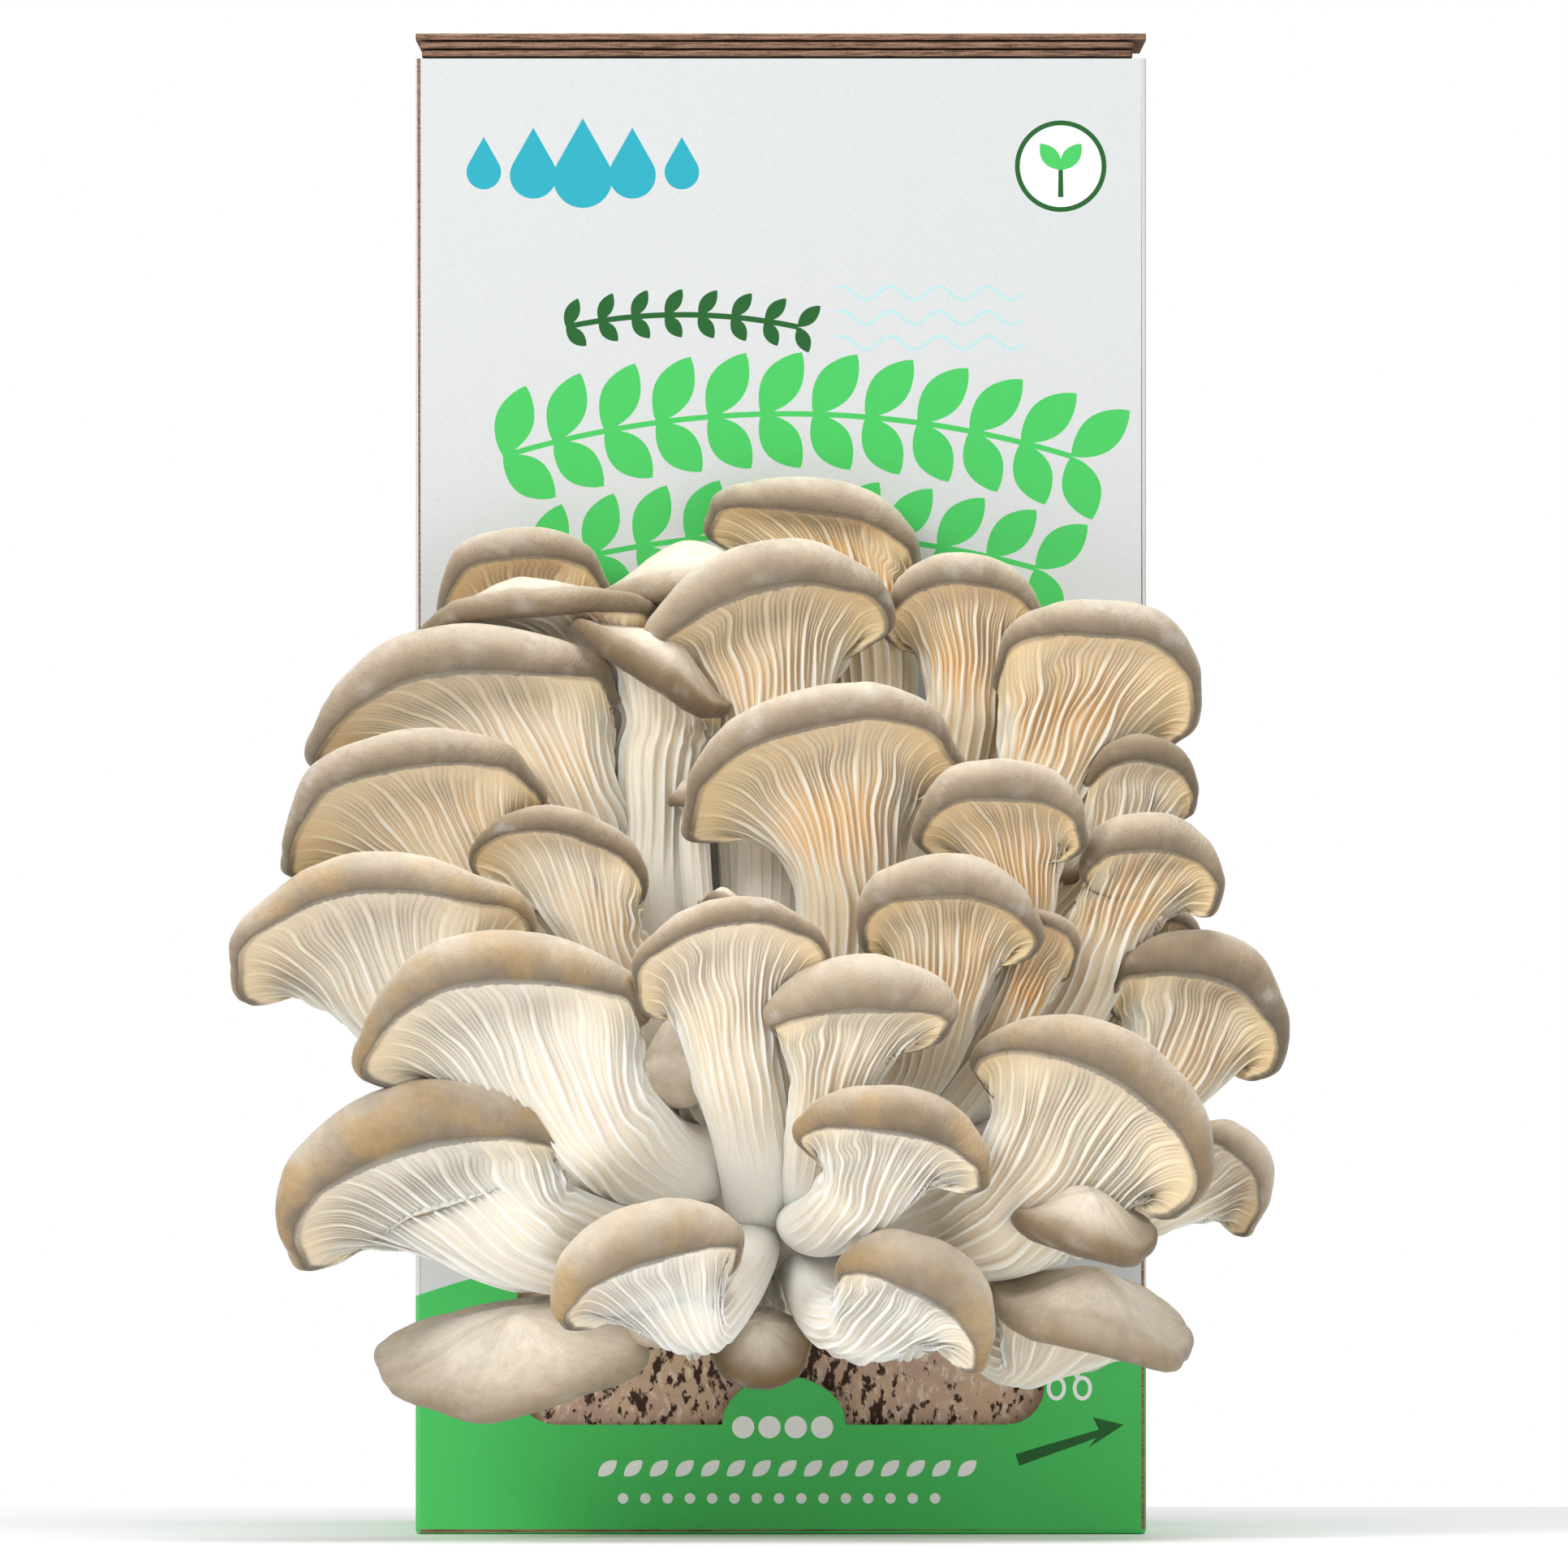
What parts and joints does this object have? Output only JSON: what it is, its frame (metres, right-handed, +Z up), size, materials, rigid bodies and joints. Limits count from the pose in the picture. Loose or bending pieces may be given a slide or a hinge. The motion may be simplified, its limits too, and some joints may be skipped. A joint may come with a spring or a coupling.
{
  "type": "oyster mushroom grow kit",
  "caption": "Oyster mushroom grow kit: a dense cluster of grey-brown oyster mushrooms growing out of the window of a plain printed carton filled with growing medium.",
  "frame": {"origin": "centre of the carton's underside, on the surface it stands on", "axes": "+Z up; the window and the mushrooms face -Y; +X to the right as seen from the front"},
  "size_m": [0.1695, 0.1724, 0.2424],
  "materials": {
    "carton_board": "matt printed corrugated board, off-white above and green below",
    "raw_board": "matt kraft board",
    "substrate": "rough damp sawdust and bran",
    "mushroom_flesh": "soft satin flesh, grey-brown caps and cream gills"
  },
  "bodies": {
    "root": {"button_centre": "mushroom_flesh", "button_upper": "mushroom_flesh", "carton": "carton_board", "cluster_base": "mushroom_flesh", "flap_lower": "raw_board", "flap_middle": "raw_board", "flap_upper": "raw_board", "mushroom_big_left": "mushroom_flesh", "mushroom_big_right": "mushroom_flesh", "mushroom_bottom_left_flat": "mushroom_flesh", "mushroom_bottom_pale": "mushroom_flesh", "mushroom_bottom_right_flat": "mushroom_flesh", "mushroom_centre_front": "mushroom_flesh", "mushroom_centre_low": "mushroom_flesh", "mushroom_centre_right": "mushroom_flesh", "mushroom_far_left": "mushroom_flesh", "mushroom_far_right": "mushroom_flesh", "mushroom_flat_upper_left": "mushroom_flesh", "mushroom_front_right": "mushroom_flesh", "mushroom_grey_behind": "mushroom_flesh", "mushroom_large_centre": "mushroom_flesh", "mushroom_left_front": "mushroom_flesh", "mushroom_left_hollow": "mushroom_flesh", "mushroom_left_middle": "mushroom_flesh", "mushroom_low_front_left": "mushroom_flesh", "mushroom_low_front_right": "mushroom_flesh", "mushroom_lower_left": "mushroom_flesh", "mushroom_pale_behind": "mushroom_flesh", "mushroom_right_edge_lower": "mushroom_flesh", "mushroom_right_edge_middle": "mushroom_flesh", "mushroom_right_edge_upper": "mushroom_flesh", "mushroom_right_flat_upper": "mushroom_flesh", "mushroom_right_of_centre": "mushroom_flesh", "mushroom_small_curled": "mushroom_flesh", "mushroom_small_hooked": "mushroom_flesh", "mushroom_small_right": "mushroom_flesh", "mushroom_teardrop": "mushroom_flesh", "mushroom_top_behind": "mushroom_flesh", "mushroom_top_centre": "mushroom_flesh", "mushroom_top_left": "mushroom_flesh", "mushroom_top_right": "mushroom_flesh", "mushroom_twisted_grey": "mushroom_flesh", "mushroom_upper_centre": "mushroom_flesh", "mushroom_upper_right": "mushroom_flesh", "substrate_block": "substrate"}
  },
  "joints": []
}
